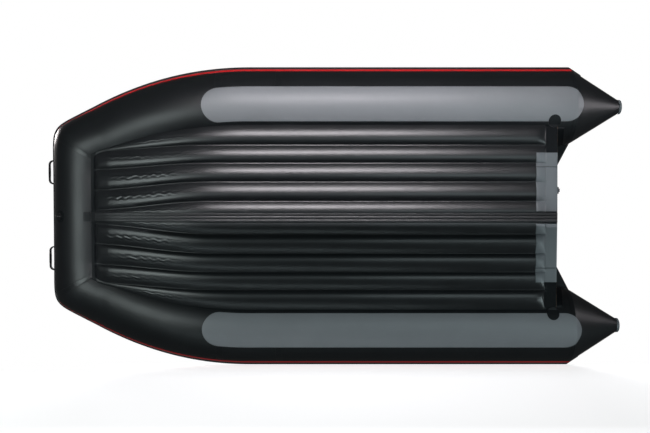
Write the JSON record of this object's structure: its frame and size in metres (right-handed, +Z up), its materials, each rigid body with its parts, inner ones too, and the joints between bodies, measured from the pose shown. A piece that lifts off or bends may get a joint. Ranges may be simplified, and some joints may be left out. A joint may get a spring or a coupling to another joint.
{
  "type": "inflatable boat with a ribbed air floor",
  "caption": "Soft inflatable boat with side tubes ending in stern cones, a blunt raised bow tube, a ribbed air floor, a raked transom, sliding bench seats and swivelling rowlocks.",
  "frame": {"origin": "on the ground under the middle of the boat's length and width, as it stands on its wear pads", "axes": "+X to the bow, +Y to port, +Z up"},
  "size_m": [3.3493, 1.703, 0.6075],
  "materials": {
    "tube_skin": "black coated fabric with a soft satin sheen",
    "floor_skin": "black coated fabric with a satin sheen, drawn tight over air chambers",
    "keel_rubber": "black ridged rubber",
    "pad_rubber": "mid-grey textured rubber sheet, slightly scuffed",
    "cap_rubber": "grey moulded rubber",
    "rail_rubber": "black extruded rubber",
    "red_stripe": "red coated fabric band",
    "grey_patch": "grey coated fabric, glued on",
    "black_patch": "black coated fabric or moulded rubber, glued on",
    "transom_ply": "film-faced plywood, dark, with pale plies at its edges",
    "clamp_plastic": "black grained plastic",
    "holder_rubber": "black moulded rubber",
    "fitting_plastic": "grey moulded plastic",
    "eye_rubber": "black moulded rubber",
    "handle_webbing": "black woven webbing",
    "track_rubber": "black extruded rubber",
    "seat_ply": "varnished plywood with rounded edges",
    "slide_aluminium": "anodised extruded aluminium",
    "socket_rubber": "black moulded rubber",
    "rowlock_steel": "satin stainless steel"
  },
  "bodies": {
    "hull": {"port_tube": "tube_skin", "starboard_tube": "tube_skin", "bow_tube": "tube_skin", "port_cone": "tube_skin", "starboard_cone": "tube_skin", "inflatable_floor": "floor_skin", "keel_strip": "keel_rubber", "port_wear_pad": "pad_rubber", "starboard_wear_pad": "pad_rubber", "port_cone_cap": "cap_rubber", "starboard_cone_cap": "cap_rubber", "bow_rub_rail": "rail_rubber", "port_rub_rail": "rail_rubber", "starboard_rub_rail": "rail_rubber", "port_red_stripe": "red_stripe", "starboard_red_stripe": "red_stripe", "stern_patches": "grey_patch", "corner_patches": "black_patch", "bow_centre_patch": "black_patch", "handle_patches": "black_patch", "tow_eye_patch": "black_patch", "transom_board": "transom_ply", "transom_outer_plate": "clamp_plastic", "transom_inner_plate": "clamp_plastic", "port_transom_holder": "holder_rubber", "starboard_transom_holder": "holder_rubber", "port_transom_gusset": "holder_rubber", "starboard_transom_gusset": "holder_rubber", "drain_fitting": "fitting_plastic", "drain_plug": "fitting_plastic", "tube_valves": "fitting_plastic", "floor_valve": "fitting_plastic", "tow_eye": "eye_rubber", "port_bow_handle": "handle_webbing", "starboard_bow_handle": "handle_webbing", "port_seat_track": "track_rubber", "starboard_seat_track": "track_rubber", "port_rowlock_base": "socket_rubber", "starboard_rowlock_base": "socket_rubber"},
    "fore_bench": {"fore_seat": "seat_ply", "fore_seat_slides": "slide_aluminium"},
    "aft_bench": {"aft_seat": "seat_ply", "aft_seat_slides": "slide_aluminium"},
    "port_rowlock_swivel": {"port_rowlock": "rowlock_steel"},
    "starboard_rowlock_swivel": {"starboard_rowlock": "rowlock_steel"}
  },
  "joints": [
    {"name": "fore_bench_slide", "type": "slide", "parent": "hull", "child": "fore_bench", "axis": [1, 0, 0], "range_m": [-0.12, 0.12]},
    {"name": "aft_bench_slide", "type": "slide", "parent": "hull", "child": "aft_bench", "axis": [1, 0, 0], "range_m": [-0.12, 0.12]},
    {"name": "port_rowlock_turn", "type": "hinge", "parent": "hull", "child": "port_rowlock_swivel", "pos_m": [-0.04, 0.625, 0.4538], "axis": [0, 0, 1], "continuous": true},
    {"name": "starboard_rowlock_turn", "type": "hinge", "parent": "hull", "child": "starboard_rowlock_swivel", "pos_m": [-0.04, -0.625, 0.4538], "axis": [0, 0, 1], "continuous": true}
  ]
}
